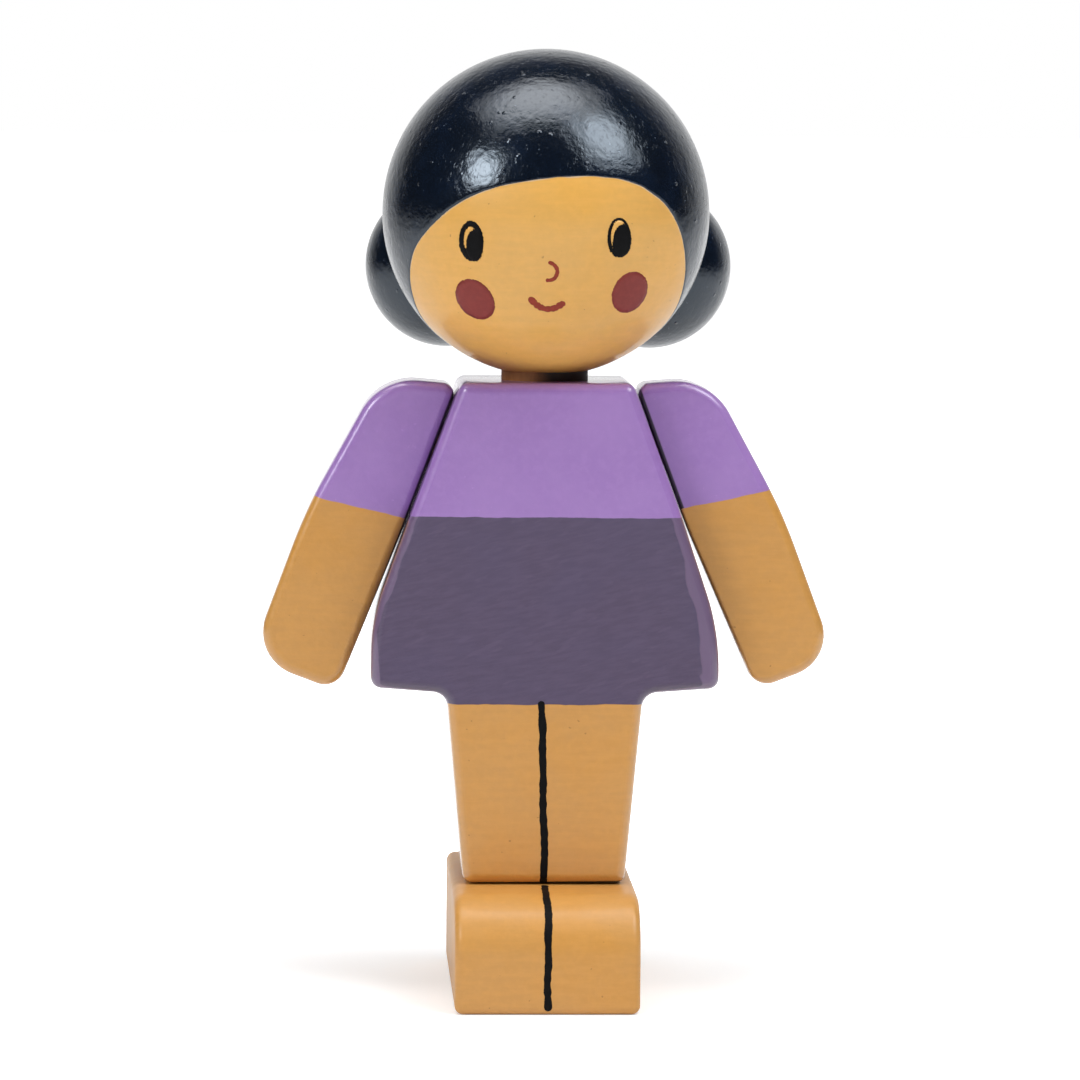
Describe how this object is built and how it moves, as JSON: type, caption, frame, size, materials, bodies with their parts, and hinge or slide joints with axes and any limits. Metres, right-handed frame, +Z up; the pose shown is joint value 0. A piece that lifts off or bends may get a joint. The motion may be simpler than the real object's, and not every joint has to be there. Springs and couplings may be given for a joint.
{
  "type": "peg doll",
  "caption": "Painted wooden block doll with a turning ball head, hair bunches, swinging flat arms, a flared skirt and a foot block to stand on.",
  "frame": {"origin": "on the floor, under the axis of the neck", "axes": "+Z up, the doll faces -Y, its own left is +X"},
  "size_m": [0.0518, 0.04, 0.0868],
  "materials": {
    "face_paint": "satin paint",
    "hair_paint": "gloss paint",
    "dress_paint": "satin paint",
    "arm_paint": "satin paint",
    "foot_paint": "satin paint",
    "neck_paint": "satin paint",
    "bare_dowel": "sanded"
  },
  "bodies": {
    "torso": {"body_board": "dress_paint", "foot_block": "foot_paint", "left_foot_dowel": "bare_dowel", "right_foot_dowel": "bare_dowel"},
    "head": {"head": "face_paint", "left_bunch": "hair_paint", "right_bunch": "hair_paint", "left_bunch_peg": "bare_dowel", "right_bunch_peg": "bare_dowel", "neck_peg": "neck_paint"},
    "left_arm": {"left_arm": "arm_paint", "left_shoulder_peg": "bare_dowel"},
    "right_arm": {"right_arm": "arm_paint", "right_shoulder_peg": "bare_dowel"}
  },
  "joints": [
    {"name": "head_turn", "type": "hinge", "parent": "torso", "child": "head", "pos_m": [0, 0, 0.05645], "axis": [0, 0, 1], "continuous": true},
    {"name": "left_arm_swing", "type": "hinge", "parent": "torso", "child": "left_arm", "pos_m": [0.01013, 0, 0.05036], "axis": [-0.9367, 0, -0.3502], "range_deg": [-95, 95]},
    {"name": "right_arm_swing", "type": "hinge", "parent": "torso", "child": "right_arm", "pos_m": [-0.01013, 0, 0.05036], "axis": [-0.9367, 0, 0.3502], "range_deg": [-95, 95]}
  ]
}
